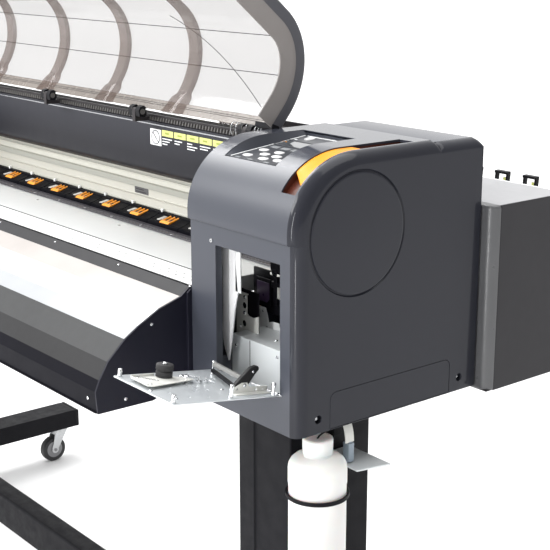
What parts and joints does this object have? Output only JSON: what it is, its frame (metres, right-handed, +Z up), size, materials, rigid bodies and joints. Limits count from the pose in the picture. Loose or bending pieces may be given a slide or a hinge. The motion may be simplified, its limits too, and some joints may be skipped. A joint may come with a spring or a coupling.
{
  "type": "printer cutter",
  "caption": "Wide roll-fed printer cutter on a castered stand: curved end housings, tinted hood, platen with pinch rollers, and a fold-down service plate.",
  "frame": {"origin": "floor point under the middle of the machine", "axes": "+X to the operator's right along the machine, +Y away from the operator, +Z up"},
  "size_m": [2, 0.86, 1.4851],
  "materials": {
    "stand_steel": "powder coated, fine texture",
    "caster_steel": "zinc plated",
    "caster_tread": "satin rubber",
    "chassis_steel": "satin",
    "platen_white": "satin white, perforated",
    "platen_grey": "fine satin",
    "apron_steel": "fine textured paint",
    "apron_end": "smooth near-black",
    "rail_aluminium": "warm satin anodised",
    "beam_black": "satin blue-black",
    "channel_dark": "satin",
    "shaft_steel": "ground with gritted bands",
    "roller_black": "fine grain",
    "arm_orange": "satin orange",
    "roller_rubber": "matt",
    "carriage_black": "satin",
    "head_metal": "satin",
    "station_grey": "satin grey-green",
    "cover_grey": "satin moulded, fine grain",
    "side_grey": "satin moulded, fine grain",
    "amber": "translucent amber, glossy",
    "panel_dark": "membrane overlay",
    "key_white": "satin",
    "plate_steel": "satin zinc-coated sheet",
    "post_chrome": "bright",
    "knob_rubber": "matt, knurled",
    "arm_light": "satin",
    "pad_black": "matt",
    "hood_smoke": "smoked, glossy",
    "hood_cap_grey": "frosted grey",
    "ink_box_grey": "satin moulded, fine grain",
    "cartridge_white": "semi-gloss",
    "bottle_white": "milky, satin",
    "roll_aluminium": "satin"
  },
  "bodies": {
    "frame": {"stand_left": "stand_steel", "stand_right": "stand_steel", "cross_beam": "stand_steel", "chassis_beam": "chassis_steel", "side_frames": "chassis_steel", "platen_front": "platen_white", "platen_rear": "platen_grey", "front_apron": "apron_steel", "apron_end_plates": "apron_end", "guide_rail": "rail_aluminium", "beam_cover": "beam_black", "top_channel": "channel_dark", "roller_housings": "roller_black", "cap_station": "station_grey", "right_lower_cover": "cover_grey", "right_upper_cover": "cover_grey", "right_side_cover": "side_grey", "access_panel": "side_grey", "right_rear_cover": "cover_grey", "amber_window": "amber", "panel_fascia": "panel_dark", "left_cover": "cover_grey", "left_side_cover": "side_grey", "ink_box": "ink_box_grey", "waste_bottle": "bottle_white"},
    "grit_shaft": {"grit_shaft": "shaft_steel"},
    "pinch_arms": {"pinch_arms": "arm_orange"},
    "pinch_rollers": {"pinch_rollers": "roller_rubber"},
    "loading_lever": {"loading_lever": "pad_black"},
    "carriage": {"carriage_frame": "carriage_black", "print_heads": "head_metal"},
    "tool_holder": {"tool_holder": "head_metal"},
    "service_plate": {"service_plate": "plate_steel", "plate_posts": "post_chrome"},
    "thumb_knob": {"thumb_knob": "knob_rubber"},
    "swing_arm": {"swing_arm": "arm_light"},
    "pad_lever": {"pad_lever": "pad_black"},
    "hood": {"hood_shell": "hood_smoke", "hood_end_caps": "hood_cap_grey"},
    "power_button": {"power_button": "key_white"},
    "media_shaft": {"media_shaft": "roll_aluminium"},
    "caster_fork_fl": {"caster_fork_fl": "caster_steel"},
    "caster_wheel_fl": {"caster_wheel_fl": "caster_tread"},
    "caster_fork_fr": {"caster_fork_fr": "caster_steel"},
    "caster_wheel_fr": {"caster_wheel_fr": "caster_tread"},
    "caster_fork_bl": {"caster_fork_bl": "caster_steel"},
    "caster_wheel_bl": {"caster_wheel_bl": "caster_tread"},
    "caster_fork_br": {"caster_fork_br": "caster_steel"},
    "caster_wheel_br": {"caster_wheel_br": "caster_tread"},
    "key_1": {"key_1": "key_white"},
    "key_2": {"key_2": "key_white"},
    "key_3": {"key_3": "key_white"},
    "key_4": {"key_4": "key_white"},
    "key_5": {"key_5": "key_white"},
    "key_6": {"key_6": "key_white"},
    "key_7": {"key_7": "key_white"},
    "ink_cartridge_1": {"ink_cartridge_1": "cartridge_white"},
    "ink_cartridge_2": {"ink_cartridge_2": "cartridge_white"},
    "ink_cartridge_3": {"ink_cartridge_3": "cartridge_white"},
    "ink_cartridge_4": {"ink_cartridge_4": "cartridge_white"}
  },
  "joints": [
    {"name": "caster_swivel_fl", "type": "hinge", "parent": "frame", "child": "caster_fork_fl", "pos_m": [-0.875, -0.385, 0.134], "axis": [0, 0, 1], "continuous": true},
    {"name": "caster_spin_fl", "type": "hinge", "parent": "caster_fork_fl", "child": "caster_wheel_fl", "pos_m": [-0.875, -0.36, 0.038], "axis": [1, 0, 0], "continuous": true},
    {"name": "caster_swivel_fr", "type": "hinge", "parent": "frame", "child": "caster_fork_fr", "pos_m": [0.828, -0.385, 0.134], "axis": [0, 0, 1], "continuous": true},
    {"name": "caster_spin_fr", "type": "hinge", "parent": "caster_fork_fr", "child": "caster_wheel_fr", "pos_m": [0.828, -0.36, 0.038], "axis": [1, 0, 0], "continuous": true},
    {"name": "caster_swivel_bl", "type": "hinge", "parent": "frame", "child": "caster_fork_bl", "pos_m": [-0.875, 0.385, 0.134], "axis": [0, 0, 1], "continuous": true},
    {"name": "caster_spin_bl", "type": "hinge", "parent": "caster_fork_bl", "child": "caster_wheel_bl", "pos_m": [-0.875, 0.36, 0.038], "axis": [1, 0, 0], "continuous": true},
    {"name": "caster_swivel_br", "type": "hinge", "parent": "frame", "child": "caster_fork_br", "pos_m": [0.828, 0.385, 0.134], "axis": [0, 0, 1], "continuous": true},
    {"name": "caster_spin_br", "type": "hinge", "parent": "caster_fork_br", "child": "caster_wheel_br", "pos_m": [0.828, 0.36, 0.038], "axis": [1, 0, 0], "continuous": true},
    {"name": "grit_shaft_spin", "type": "hinge", "parent": "frame", "child": "grit_shaft", "pos_m": [0, -0.01, 0.972], "axis": [1, 0, 0], "continuous": true},
    {"name": "pinch_lift", "type": "hinge", "parent": "frame", "child": "pinch_arms", "pos_m": [0, 0.003, 1.006], "axis": [-1, 0, 0], "range_deg": [0, 8]},
    {"name": "pinch_roller_spin", "type": "hinge", "parent": "pinch_arms", "child": "pinch_rollers", "pos_m": [0, -0.01, 0.9932], "axis": [1, 0, 0], "continuous": true},
    {"name": "loading_lever_turn", "type": "hinge", "parent": "frame", "child": "loading_lever", "pos_m": [-0.86, -0.195, 1.045], "axis": [1, 0, 0], "range_deg": [0, 40]},
    {"name": "carriage_travel", "type": "slide", "parent": "frame", "child": "carriage", "axis": [1, 0, 0], "range_m": [-1.54, 0]},
    {"name": "tool_drop", "type": "slide", "parent": "carriage", "child": "tool_holder", "axis": [0, 0, -1], "range_m": [0, 0.006], "stiffness_N_per_m": 250, "springref_m": -0.03},
    {"name": "service_plate_hinge", "type": "hinge", "parent": "frame", "child": "service_plate", "pos_m": [0, -0.224, 0.861], "axis": [-1, 0, 0], "range_deg": [0, 80.7]},
    {"name": "thumb_knob_turn", "type": "hinge", "parent": "service_plate", "child": "thumb_knob", "pos_m": [0.814, -0.35381, 0.89746], "axis": [0, 0.1616, 0.9869], "continuous": true},
    {"name": "swing_arm_turn", "type": "hinge", "parent": "service_plate", "child": "swing_arm", "pos_m": [0.814, -0.35527, 0.88858], "axis": [0, 0.1616, 0.9869], "range_deg": [-20, 35]},
    {"name": "pad_lever_turn", "type": "hinge", "parent": "service_plate", "child": "pad_lever", "pos_m": [0.899, -0.27338, 0.88125], "axis": [1, 0, 0], "range_deg": [0, 25]},
    {"name": "hood_hinge", "type": "hinge", "parent": "frame", "child": "hood", "pos_m": [0, -0.055, 1.215], "axis": [1, 0, 0], "range_deg": [0, 130]},
    {"name": "power_button_press", "type": "slide", "parent": "frame", "child": "power_button", "axis": [0, 0.1104, -0.9939], "range_m": [0, 0.0008], "stiffness_N_per_m": 600, "springref_m": -0.0012},
    {"name": "key_1_press", "type": "slide", "parent": "frame", "child": "key_1", "axis": [0, 0.1104, -0.9939], "range_m": [0, 0.0008], "stiffness_N_per_m": 600, "springref_m": -0.0012},
    {"name": "key_2_press", "type": "slide", "parent": "frame", "child": "key_2", "axis": [0, 0.1104, -0.9939], "range_m": [0, 0.0008], "stiffness_N_per_m": 600, "springref_m": -0.0012},
    {"name": "key_3_press", "type": "slide", "parent": "frame", "child": "key_3", "axis": [0, 0.1104, -0.9939], "range_m": [0, 0.0008], "stiffness_N_per_m": 600, "springref_m": -0.0012},
    {"name": "key_4_press", "type": "slide", "parent": "frame", "child": "key_4", "axis": [0, 0.1104, -0.9939], "range_m": [0, 0.0008], "stiffness_N_per_m": 600, "springref_m": -0.0012},
    {"name": "key_5_press", "type": "slide", "parent": "frame", "child": "key_5", "axis": [0, 0.1104, -0.9939], "range_m": [0, 0.0008], "stiffness_N_per_m": 600, "springref_m": -0.0012},
    {"name": "key_6_press", "type": "slide", "parent": "frame", "child": "key_6", "axis": [0, 0.1104, -0.9939], "range_m": [0, 0.0008], "stiffness_N_per_m": 600, "springref_m": -0.0012},
    {"name": "key_7_press", "type": "slide", "parent": "frame", "child": "key_7", "axis": [0, 0.1104, -0.9939], "range_m": [0, 0.0008], "stiffness_N_per_m": 600, "springref_m": -0.0012},
    {"name": "ink_cartridge_1_slide", "type": "slide", "parent": "frame", "child": "ink_cartridge_1", "axis": [0, 1, 0], "range_m": [0, 0.15]},
    {"name": "ink_cartridge_2_slide", "type": "slide", "parent": "frame", "child": "ink_cartridge_2", "axis": [0, 1, 0], "range_m": [0, 0.15]},
    {"name": "ink_cartridge_3_slide", "type": "slide", "parent": "frame", "child": "ink_cartridge_3", "axis": [0, 1, 0], "range_m": [0, 0.15]},
    {"name": "ink_cartridge_4_slide", "type": "slide", "parent": "frame", "child": "ink_cartridge_4", "axis": [0, 1, 0], "range_m": [0, 0.15]},
    {"name": "media_shaft_spin", "type": "hinge", "parent": "frame", "child": "media_shaft", "pos_m": [0, 0.23, 0.74], "axis": [1, 0, 0], "continuous": true}
  ],
  "couplings": [
    {"joint": "pinch_roller_spin", "follows": "grit_shaft_spin", "ratio": -1.3},
    {"joint": "loading_lever_turn", "follows": "pinch_lift", "ratio": 5}
  ]
}
